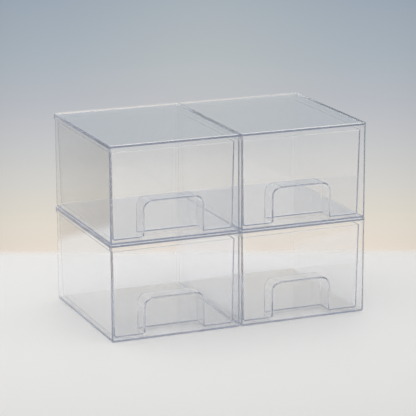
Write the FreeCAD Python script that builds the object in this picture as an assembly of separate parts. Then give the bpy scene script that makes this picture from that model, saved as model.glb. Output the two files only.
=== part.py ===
import FreeCAD, Part
import os

# Stackable drawer boxes in clear moulded plastic: four alike, two side by side and two high.
# Each box is a case that is open at the front, a cover that laps over its walls, and a drawer.
# X runs to the right along the fronts, Y to the back and Z up. The origin is on the table
# under the middle of the group. One box is drawn from the left front corner of its cover.

# the group
columns = ("left", "right")
rows = ("lower", "upper")
stack_pitch = 122.0            # from the base of one box up to the base of the next
stack_gap = 0.1                # from a top panel up to the base that sits down on it
column_gap = 0.4               # between the covers of two boxes that stand side by side

# cover
cover_width = 169.6
cover_depth = 208.0
rim_rise = 1.6                 # rim above the panel; the next box sits down this far
rim_top_width = 1.1
rim_inner_radius = 1.7         # hollow curve from the rim down to the panel
rim_outer_radius = 0.7
panel_thickness = 2.2
front_band_height = 5.0        # height of the cover's edge over the open front
skirt_height = 7.4             # height of the cover's edge at the sides and the back
skirt_thickness = 1.3
skirt_edge_radius = 0.35       # along the cover's lower edge

# case
case_inset = 0.8               # the cover stands this far proud of the case
case_wall = 2.0
case_floor = 3.4
case_front_radius = 0.7        # outer edge up the front ends of the side walls
base_radius = 4.0              # rounded edge round the base
floor_inner_radius = 1.4
case_mouth_radius = 0.2        # inner edge round the open front
lap_gap = 0.1                  # between the cover's skirt and the case's walls

# drawer
front_setback = 5.0            # drawer front behind the cover's front, at the top
side_gap = 2.0                 # to the case's wall, at the top
back_gap = 1.5
glide_gap = 0.9                # under the drawer
drawer_head_gap = 6.2          # from the drawer's top edge to the underside of the cover
draft_inset = 1.9              # the drawer is narrower at the bottom by this, on every side
drawer_wall = 1.9              # walls, floor and the skin of the niche
drawer_base_radius = 3.2       # rounded edge round the bottom
drawer_lip_radius = 0.7        # both edges of the open top

# finger niche in the drawer front, open at the front and at the bottom
niche_width = 76.0
niche_top = 44.5               # above the underside of the drawer
niche_depth = 26.5
niche_arch_radius = 10.5
niche_back_radius = 1.2
niche_mouth_radius = 0.6       # edge where the niche breaks through the front
niche_seam_radius = 0.6        # the same edge on the inside of the drawer

corner_margin = 0.2            # upright corners are rounder than the edges under them by this
overrun = 8.0                  # how far cutting shapes run past what they cut
same_place = 0.0001            # edges closer to a level than this lie on it

# levels in one box, measured from its base
panel_top = stack_pitch - stack_gap
rim_top = panel_top + rim_rise
ceiling = panel_top - panel_thickness
wall_top = ceiling - lap_gap
skirt_bottom = rim_top - skirt_height
front_band_bottom = rim_top - front_band_height
drawer_bottom = case_floor + glide_gap
drawer_top = ceiling - drawer_head_gap

# places across and along one box
hollow_inset = rim_top_width - rim_inner_radius + (
    rim_inner_radius ** 2 - (rim_inner_radius - rim_rise) ** 2) ** 0.5
case_inner = case_inset + case_wall
niche_back = front_setback + niche_depth

# plan radii of the upright corners
cover_corner = hollow_inset + rim_inner_radius + corner_margin
case_corner = base_radius + corner_margin
drawer_corner = drawer_base_radius + corner_margin

up = FreeCAD.Vector(0, 0, 1)
forward = FreeCAD.Vector(0, -1, 0)


def rounded_outline(left, right, front, back, level, radius):
    """A closed outline with rounded corners at one level."""
    corners = (
        (right - radius, front + radius, -90),
        (right - radius, back - radius, 0),
        (left + radius, back - radius, 90),
        (left + radius, front + radius, 180),
    )
    arcs = [
        Part.makeCircle(radius, FreeCAD.Vector(x, y, level), up, start, start + 90)
        for x, y, start in corners
    ]
    edges = []
    for arc, following in zip(arcs, arcs[1:] + arcs[:1]):
        edges.append(arc)
        edges.append(Part.makeLine(arc.Vertexes[-1].Point, following.Vertexes[0].Point))
    return Part.Wire(edges)


def rounded_block(left, right, front, back, low, high, radius):
    outline = rounded_outline(left, right, front, back, low, radius)
    return Part.Face(outline).extrude(up * (high - low))


def inset_block(inset, low, high):
    """A block with the cover's outline, drawn in by an inset on every side."""
    return rounded_block(inset, cover_width - inset, inset, cover_depth - inset,
                         low, high, cover_corner - inset)


def plain_block(left, right, front, back, low, high):
    return Part.makeBox(right - left, back - front, high - low, FreeCAD.Vector(left, front, low))


def edges_at(shape, level):
    """The edges that lie flat at one level."""
    return [
        edge for edge in shape.Edges
        if abs(edge.BoundBox.ZMin - level) < same_place
        and abs(edge.BoundBox.ZMax - level) < same_place
    ]


def rising_edges(shape, left, right, front, back):
    """The edges within a frame in plan that don't lie flat."""
    return [
        edge for edge in shape.Edges
        if edge.BoundBox.ZLength > same_place
        and edge.BoundBox.XMin > left and edge.BoundBox.XMax < right
        and edge.BoundBox.YMin > front and edge.BoundBox.YMax < back
    ]


def on_outline(edge):
    """Whether an edge lies on the outer faces of the cover."""
    box = edge.BoundBox
    reach = min(box.XMin, box.YMin, cover_width - box.XMax, cover_depth - box.YMax)
    return reach < same_place


def make_cover():
    body = inset_block(0, skirt_bottom, rim_top)
    body = body.makeFillet(rim_outer_radius, edges_at(body, rim_top))

    hollow = inset_block(hollow_inset, panel_top, rim_top + overrun)
    hollow = hollow.makeFillet(rim_inner_radius, edges_at(hollow, panel_top))

    # the walls of the case come up into this pocket; over the open front a lip closes it
    end_left = case_inner + lap_gap
    end_right = cover_width - end_left
    lip = plain_block(end_left, end_right, -overrun, case_inner, front_band_bottom,
                      ceiling + overrun)
    pocket = inset_block(skirt_thickness, skirt_bottom - overrun, ceiling).cut(lip)
    open_front = plain_block(end_left, end_right, -overrun, case_inner,
                             skirt_bottom - overrun, front_band_bottom)
    cover = body.cut(hollow).cut(pocket).cut(open_front)

    lower_edges = edges_at(cover, skirt_bottom) + edges_at(cover, front_band_bottom)
    return cover.makeFillet(skirt_edge_radius, [edge for edge in lower_edges if on_outline(edge)])


def make_case():
    body = rounded_block(case_inset, cover_width - case_inset, -overrun, cover_depth - case_inset,
                         0, wall_top, case_corner)
    body = body.common(plain_block(0, cover_width, case_inset, cover_depth, 0, wall_top))
    body = body.makeFillet(base_radius, edges_at(body, 0))
    reach = case_inset + base_radius + same_place
    front_corners = []
    for left, right in ((0, reach), (cover_width - reach, cover_width)):
        front_corners += rising_edges(body, left, right, 0, reach)
    body = body.makeFillet(case_front_radius, front_corners)

    inside = rounded_block(case_inner, cover_width - case_inner, -overrun, cover_depth - case_inner,
                           case_floor, wall_top + overrun, case_corner - case_wall)
    inside = inside.makeFillet(floor_inner_radius, edges_at(inside, case_floor))

    lap_bottom = skirt_bottom - lap_gap
    lap = inset_block(-overrun, lap_bottom, wall_top + overrun).cut(
        inset_block(skirt_thickness + lap_gap, lap_bottom, wall_top + overrun))
    case = body.cut(inside).cut(lap)

    mouth = [
        edge for edge in case.Edges
        if edge.BoundBox.XMin > case_inner - same_place
        and edge.BoundBox.XMax < cover_width - case_inner + same_place
        and edge.BoundBox.YMax < case_inset + case_mouth_radius
    ]
    return case.makeFillet(case_mouth_radius, mouth)


def tapered_block(wall, low, high):
    """A block with the drawer's leaning sides, drawn in by a wall on every side."""
    lean = draft_inset / (drawer_top - drawer_bottom)
    outlines = []
    for level in (low, high):
        inset = wall + lean * (drawer_top - level)
        side = case_inner + side_gap + inset
        front = front_setback + inset
        back = cover_depth - case_inner - back_gap - inset
        outlines.append(rounded_outline(side, cover_width - side, front, back, level,
                                        drawer_corner - wall))
    return Part.makeLoft(outlines, True, True)


def niche_block(wall, low):
    """What the niche takes away, grown by a wall: straight sides, round shoulders, a flat roof."""
    left = (cover_width - niche_width) / 2 - wall
    right = cover_width - left
    top = drawer_bottom + niche_top + wall
    radius = niche_arch_radius + wall
    spring = top - radius

    def point(x, z):
        return FreeCAD.Vector(x, -overrun, z)

    outline = [
        Part.makeLine(point(left, low), point(right, low)),
        Part.makeLine(point(right, low), point(right, spring)),
        Part.makeCircle(radius, point(right - radius, spring), forward, 0, 90),
        Part.makeLine(point(right - radius, top), point(left + radius, top)),
        Part.makeCircle(radius, point(left + radius, spring), forward, 90, 180),
        Part.makeLine(point(left, spring), point(left, low)),
    ]
    back = niche_back + wall
    arch = Part.Face(Part.Wire(outline)).extrude(forward * -(back + overrun))
    back_edges = [
        edge for edge in arch.Edges
        if abs(edge.BoundBox.YMin - back) < same_place
        and edge.BoundBox.ZMax > low + same_place
    ]
    return arch.makeFillet(niche_back_radius + wall, back_edges)


def drawer_form(wall, high, mouth_radius):
    """The outside of the drawer, or with a wall the hollow inside it, up to a level."""
    low = drawer_bottom + wall
    form = tapered_block(wall, low, high).cut(niche_block(wall, low - overrun))
    mouth_left = (cover_width - niche_width) / 2 - wall
    mouth = [
        edge for edge in form.Edges
        if edge.BoundBox.XMin > mouth_left - same_place
        and edge.BoundBox.XMax < cover_width - mouth_left + same_place
        and edge.BoundBox.YMax < (front_setback + niche_back) / 2
    ]
    form = form.makeFillet(mouth_radius, mouth)
    return form.makeFillet(drawer_base_radius - wall, edges_at(form, low))


def make_drawer():
    outside = drawer_form(0, drawer_top, niche_mouth_radius)
    hollow = drawer_form(drawer_wall, drawer_top + overrun, niche_seam_radius)
    tray = outside.cut(hollow)
    return tray.makeFillet(drawer_lip_radius, edges_at(tray, drawer_top))


pieces = {"case": make_case(), "cover": make_cover(), "drawer": make_drawer()}
column_pitch = cover_width + column_gap
first_left = (column_gap - len(columns) * column_pitch) / 2

os.makedirs("parts", exist_ok=True)
for column, column_name in enumerate(columns):
    for row, row_name in enumerate(rows):
        place = FreeCAD.Vector(first_left + column * column_pitch, -cover_depth / 2,
                               row * stack_pitch)
        for name, piece in pieces.items():
            placed = piece.copy()
            placed.translate(place)
            placed.exportStep(f"parts/{row_name}_{column_name}_{name}.step")

for name, piece in pieces.items():
    print(name, "solids", len(piece.Solids), "valid", piece.isValid(), "volume", round(piece.Volume))
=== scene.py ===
import math
import bpy
from mathutils import Matrix, Vector

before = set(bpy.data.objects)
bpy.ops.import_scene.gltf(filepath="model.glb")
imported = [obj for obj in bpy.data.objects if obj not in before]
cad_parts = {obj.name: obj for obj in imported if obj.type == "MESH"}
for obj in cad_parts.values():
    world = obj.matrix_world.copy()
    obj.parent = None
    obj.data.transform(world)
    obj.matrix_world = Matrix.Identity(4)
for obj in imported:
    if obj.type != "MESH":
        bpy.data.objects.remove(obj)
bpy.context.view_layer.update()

# Four clear plastic drawer boxes on a pale table, seen from the front left with a long lens.

scene = bpy.context.scene
scene.view_settings.view_transform = "Standard"

# light has to get through many clear walls
scene.cycles.max_bounces = 32
scene.cycles.transmission_bounces = 32
scene.cycles.glossy_bounces = 32
scene.cycles.transparent_max_bounces = 48
scene.cycles.diffuse_bounces = 3
scene.cycles.sample_clamp_indirect = 4.0


# node helpers


class Wire:
    # one socket of a node tree, which works in plain sums: mask * 0.3 + 1
    def __init__(self, tree, socket):
        self.tree = tree
        self.socket = socket

    def math(self, operation, first, second):
        return self.tree.node("ShaderNodeMath", {"operation": operation}, {0: first, 1: second})

    def __add__(self, other):
        return self.math("ADD", self, other)

    def __radd__(self, other):
        return self.math("ADD", other, self)

    def __mul__(self, other):
        return self.math("MULTIPLY", self, other)

    def __rmul__(self, other):
        return self.math("MULTIPLY", other, self)

    def __truediv__(self, other):
        return self.math("DIVIDE", self, other)

    def __rtruediv__(self, other):
        return self.math("DIVIDE", other, self)

    def larger(self, other):
        return self.math("MAXIMUM", self, other)

    def above(self, other):
        return self.math("GREATER_THAN", self, other)


class Tree:
    # a material's or the world's node tree
    def __init__(self, owner):
        owner.use_nodes = True
        self.tree = owner.node_tree
        self.tree.nodes.clear()

    def node(self, kind, settings=None, values=None, out=0):
        made = self.tree.nodes.new(kind)
        for key, value in (settings or {}).items():
            if key == "stops":
                self.setStops(made.color_ramp, value)
            else:
                setattr(made, key, value)
        for key, value in (values or {}).items():
            if isinstance(value, Wire):
                self.tree.links.new(value.socket, made.inputs[key])
            else:
                made.inputs[key].default_value = value
        return Wire(self, made.outputs[out]) if len(made.outputs) else made

    def setStops(self, ramp, stops):
        while len(ramp.elements) < len(stops):
            ramp.elements.new(0.5)
        for element, (place, colour) in zip(ramp.elements, stops):
            element.position = place
            element.color = (*colour, 1.0)

    def rangeOf(self, value, low, high, toLow=0.0, toHigh=1.0, smooth=False):
        return self.node("ShaderNodeMapRange",
                         {"interpolation_type": "SMOOTHSTEP" if smooth else "LINEAR"},
                         {"Value": value, "From Min": low, "From Max": high,
                          "To Min": toLow, "To Max": toHigh})

    def ramp(self, value, stops):
        # a colour for each value, from stops in the value's own measure
        low, high = stops[0][0], stops[-1][0]
        places = [((at - low) / (high - low), colour) for at, colour in stops]
        return self.node("ShaderNodeValToRGB", {"stops": places},
                         {0: self.rangeOf(value, low, high)})

    def dot(self, value, way):
        return self.node("ShaderNodeVectorMath", {"operation": "DOT_PRODUCT"},
                         {0: value, 1: tuple(way)}, out=1)

    def scaled(self, colour, share):
        return self.node("ShaderNodeVectorMath", {"operation": "SCALE"},
                         {0: colour, "Scale": share})

    def blend(self, share, first, second):
        return self.node("ShaderNodeMix", {"data_type": "RGBA"},
                         {0: share, 6: first, 7: second}, out=2)

    def place(self):
        # Object coordinates
        return self.node("ShaderNodeTexCoord", out="Object")

    def heightOf(self, value):
        return self.node("ShaderNodeSeparateXYZ", None, {0: value}, out="Z")

    def ray(self, question):
        return self.node("ShaderNodeLightPath", out=question)


# camera

camera = {
    "place": (-0.9862, -2.4044, 0.7940),
    "azimuth": -22.291,
    "elevation": 14.367,
    "roll": -0.228,
    "lens": 183.19,
    "sensor": 36.0,
    "farthest": 50.0,
}


def makeCamera(s):
    a, e, r = (math.radians(s[key]) for key in ("azimuth", "elevation", "roll"))
    back = Vector((math.sin(a) * math.cos(e), -math.cos(a) * math.cos(e), math.sin(e)))
    side = Vector((math.cos(a), math.sin(a), 0.0))
    up = back.cross(side)
    right = side * math.cos(r) + up * math.sin(r)
    top = up * math.cos(r) - side * math.sin(r)
    data = bpy.data.cameras.new("camera")
    data.lens = s["lens"]
    data.sensor_width = s["sensor"]
    data.clip_end = s["farthest"]
    made = bpy.data.objects.new("camera", data)
    scene.collection.objects.link(made)
    facing = Matrix((right, top, back)).transposed()
    made.matrix_world = Matrix.Translation(Vector(s["place"])) @ facing.to_4x4()
    scene.camera = made


makeCamera(camera)
print("camera set")


# surroundings

turn = math.radians(camera["azimuth"])
across = Vector((math.cos(turn), math.sin(turn), 0.0))
away = Vector((-math.sin(turn), math.cos(turn), 0.0))

backdrop = {
    "light": (1.0, 0.99, 0.975),      # what lights the table
    "lightLevel": 0.80,
    "distance": 0.30,                 # from the middle of the boxes, away from the camera
    # colours up the backdrop, against the height over the table
    "stops": (
        (-0.009, (0.785, 0.705, 0.620)),
        (0.034, (0.735, 0.688, 0.604)),
        (0.092, (0.640, 0.630, 0.604)),
        (0.150, (0.548, 0.558, 0.571)),
        (0.207, (0.470, 0.490, 0.530)),
        (0.263, (0.402, 0.451, 0.497)),
        (0.354, (0.326, 0.386, 0.454)),
        (0.460, (0.300, 0.360, 0.430)),
        (0.800, (0.330, 0.380, 0.445)),
        (1.500, (0.450, 0.480, 0.510)),
    ),
    "glow": (1.01, 0.35),             # lit in the middle, dark at the sides
    "glowFrom": 0.22,
    "glowReach": 0.66,
    "patch": (0.058, 0.048, 0.022),   # a soft patch of light high in the middle
    "patchReach": 0.26,
    "patchFrom": (0.10, 0.26),
    "patchTo": (0.46, 0.33),
    "card": (0.80, -0.30, 0.95),      # half width, bottom and top of the card behind the boxes
    # the rest of the studio, against how far the view points away from the camera
    "studio": (
        (-0.60, (1.20, 1.17, 1.14)),
        (-0.20, (0.95, 0.93, 0.91)),
        (0.20, (0.60, 0.60, 0.60)),
        (0.60, (0.30, 0.30, 0.30)),
    ),
    "under": (0.66, 0.66, 0.655),     # below the level, where the table doesn't reach
    "underReach": (0.0, -0.05),
    "backdropReach": (0.70, 0.90),    # how squarely a view points away to meet the backdrop
    "leastAway": 0.05,                # keeps the backdrop's place finite for views aside
    "softbox": (1.15, 1.15, 1.15),    # over the boxes
    "softboxReach": (0.55, 0.80),
}


def backdropColour(t, s, height, side):
    # the backdrop at a height and at a distance to the side of its middle
    aside = t.node("ShaderNodeMath", {"operation": "ABSOLUTE"}, {0: side})
    glow = t.rangeOf(aside, s["glowFrom"], s["glowReach"], *s["glow"], smooth=True)
    lit = t.scaled(t.ramp(height, s["stops"]), glow)
    patch = (t.rangeOf(aside, s["patchReach"], 0.0, smooth=True)
             * t.rangeOf(height, *s["patchFrom"], smooth=True)
             * t.rangeOf(height, *s["patchTo"], smooth=True))
    return t.node("ShaderNodeVectorMath", {"operation": "ADD"},
                  {0: lit, 1: t.scaled(s["patch"], patch)})


def makeBackdrop(s):
    world = bpy.data.worlds.new("studio")
    scene.world = world
    t = Tree(world)
    view = t.node("ShaderNodeTexCoord", out="Generated")
    up = t.heightOf(view)
    along = t.dot(view, away)
    # where a line from the photograph's place meets the backdrop
    stand = Vector(camera["place"])
    reach = s["distance"] - stand.dot(away)
    ahead = along.larger(s["leastAway"])
    height = up / ahead * reach + stand.z
    side = t.dot(view, across) / ahead * reach + stand.dot(across)
    seen = t.blend(t.rangeOf(up, *s["underReach"], smooth=True),
                   t.ramp(along, s["studio"]), (*s["under"], 1.0))
    seen = t.blend(t.rangeOf(along, *s["backdropReach"], smooth=True),
                   seen, backdropColour(t, s, height, side))
    seen = t.blend(t.rangeOf(up, *s["softboxReach"], smooth=True),
                   seen, (*s["softbox"], 1.0))
    direct = t.ray("Is Camera Ray").larger(t.ray("Is Glossy Ray"))
    direct = direct.larger(t.ray("Is Transmission Ray"))
    light = t.node("ShaderNodeBackground", None,
                   {"Color": (*s["light"], 1.0), "Strength": s["lightLevel"]})
    shown = t.node("ShaderNodeBackground", None, {"Color": seen, "Strength": 1.0})
    mix = t.node("ShaderNodeMixShader", None, {0: direct, 1: light, 2: shown})
    t.node("ShaderNodeOutputWorld", None, {"Surface": mix})


def makeCard(s):
    # the same backdrop close behind the boxes, for what they mirror and bend
    wide, low, high = s["card"]
    mesh = bpy.data.meshes.new("card")
    mesh.from_pydata([across * x + away * s["distance"] + Vector((0, 0, z))
                      for x, z in ((-wide, low), (wide, low), (wide, high), (-wide, high))],
                     [], [(0, 1, 2, 3)])
    made = bpy.data.objects.new("card", mesh)
    scene.collection.objects.link(made)
    made.visible_camera = False
    made.visible_diffuse = False
    made.visible_shadow = False
    material = bpy.data.materials.new("card")
    t = Tree(material)
    place = t.place()
    colour = backdropColour(t, s, t.heightOf(place), t.dot(place, across))
    glow = t.node("ShaderNodeEmission", None, {"Color": colour, "Strength": 1.0})
    t.node("ShaderNodeOutputMaterial", None, {"Surface": glow})
    mesh.materials.append(material)


makeBackdrop(backdrop)
makeCard(backdrop)

table = {
    # a painted pool of light in the table's colour round the boxes, against the distance from
    # their middle
    "paintedLightPool": (
        (0.22, (0.835, 0.836, 0.836)),
        (0.46, (0.750, 0.750, 0.747)),
        (0.70, (0.640, 0.638, 0.632)),
        (1.60, (0.610, 0.608, 0.602)),
    ),
    "roughness": 0.55,
    "level": -0.0001,                 # a film of air keeps the table's face off the boxes' bases
    "halfWidth": 6.0,
    "front": -6.0,
    "edgeBack": 0.253,                # where the table ends behind the boxes, along the view
    "edgeSoft": 0.02,                 # half the width over which it fades
    "shine": 0.3,
}


def makeTable(s):
    # a plane turned to the camera, whose far edge lies level across the picture
    far = s["edgeBack"] + s["edgeSoft"]
    corners = [across * x + away * y for x, y in ((-s["halfWidth"], s["front"]),
                                                  (s["halfWidth"], s["front"]),
                                                  (s["halfWidth"], far),
                                                  (-s["halfWidth"], far))]
    mesh = bpy.data.meshes.new("table")
    mesh.from_pydata([(c.x, c.y, s["level"]) for c in corners], [], [(0, 1, 2, 3)])
    made = bpy.data.objects.new("table", mesh)
    scene.collection.objects.link(made)
    material = bpy.data.materials.new("table")
    t = Tree(material)
    place = t.place()
    gone = t.rangeOf(t.dot(place, away), s["edgeBack"] - s["edgeSoft"], far, smooth=True)
    fromMiddle = t.node("ShaderNodeVectorMath", {"operation": "LENGTH"}, {0: place}, out=1)
    # the table's colour is brighter near the boxes and darker away from them: a painted pool of
    # light
    plain = t.node("ShaderNodeBsdfPrincipled", None,
                   {"Base Color": t.ramp(fromMiddle, s["paintedLightPool"]), "Roughness": s["roughness"],
                    "Specular IOR Level": s["shine"]})
    through = t.node("ShaderNodeBsdfTransparent")
    mix = t.node("ShaderNodeMixShader", None, {0: gone, 1: plain, 2: through})
    t.node("ShaderNodeOutputMaterial", None, {"Surface": mix})
    mesh.materials.append(material)


makeTable(table)

lamps = {
    "key": {"place": (-1.2, 0.9, 1.9), "aim": (0, 0, 0.1), "size": (1.2, 1.2), "power": 16.0},
    "fill": {"place": (1.4, -1.2, 1.6), "aim": (0, 0, 0.1), "size": (1.6, 1.0), "power": 4.0},
}


def makeLamp(name, s):
    data = bpy.data.lights.new(name, "AREA")
    data.shape = "RECTANGLE"
    data.size, data.size_y = s["size"]
    data.energy = s["power"]
    made = bpy.data.objects.new(name, data)
    scene.collection.objects.link(made)
    made.location = s["place"]
    made.visible_glossy = False
    made.visible_transmission = False
    beam = Vector(s["aim"]) - Vector(s["place"])
    made.rotation_euler = beam.to_track_quat("-Z", "Y").to_euler()


for lampName, lampValues in lamps.items():
    makeLamp(lampName, lampValues)
print("table, backdrop and lamps set")


# clear plastic

plastic = {
    "tint": (0.997, 0.997, 0.998),
    "index": 1.50,
    "roughness": 0.004,
    "haze": 0.004,                    # share of light that the moulded faces scatter
    "cloud": 0.01,                    # how much the roughness varies
    "cloudScale": 35.0,
    "cloudDetail": 3.0,
    "depthTint": (0.467, 0.525, 0.675),  # seen along a wall, not through it
    "depthLoss": 6.0,
    "wave": 0.00004,                  # moulded walls are never quite flat
    "waveScale": 9.0,
    "waveDetail": 1.0,
    "waveSeed": 3.1,                  # added to the piece's own
    "through": (0.996, 0.996, 0.996),  # lamplight that one face lets through
    "trapped": 20,                    # after this many faces light goes straight out
}


def clearPlastic(name, s, seed):
    material = bpy.data.materials.new(name)
    t = Tree(material)
    place = t.place()
    cloud = t.node("ShaderNodeTexNoise", {"noise_dimensions": "4D"},
                   {"Vector": place, "W": seed, "Scale": s["cloudScale"],
                    "Detail": s["cloudDetail"]})
    slow = t.node("ShaderNodeTexNoise", {"noise_dimensions": "4D"},
                  {"Vector": place, "W": seed + s["waveSeed"], "Scale": s["waveScale"],
                   "Detail": s["waveDetail"]})
    wave = t.node("ShaderNodeBump", None, {"Strength": 1.0, "Distance": s["wave"], "Height": slow})
    body = t.node("ShaderNodeBsdfPrincipled", None,
                  {"Base Color": (*s["tint"], 1.0), "IOR": s["index"],
                   "Transmission Weight": 1.0 - s["haze"],
                   "Roughness": cloud * s["cloud"] + s["roughness"], "Normal": wave})
    # lamps shine through the walls
    free = t.ray("Is Shadow Ray").larger(t.ray("Ray Depth").above(s["trapped"]))
    clear = t.node("ShaderNodeBsdfTransparent", None, {0: (*s["through"], 1.0)})
    mix = t.node("ShaderNodeMixShader", None, {0: free, 1: body, 2: clear})
    depth = t.node("ShaderNodeVolumeAbsorption", None,
                   {"Color": (*s["depthTint"], 1.0), "Density": s["depthLoss"]})
    t.node("ShaderNodeOutputMaterial", None, {"Surface": mix, "Volume": depth})
    return material


finishes = {
    "case": clearPlastic("caseClear", plastic, 1.0),
    "cover": clearPlastic("coverClear", plastic, 2.0),
    "drawer": clearPlastic("drawerClear", plastic, 3.0),
}
for nodeName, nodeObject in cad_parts.items():
    nodeObject.data.materials.clear()
    nodeObject.data.materials.append(finishes[nodeName.split("_")[-1]])
print("clear plastic on", len(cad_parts), "pieces")
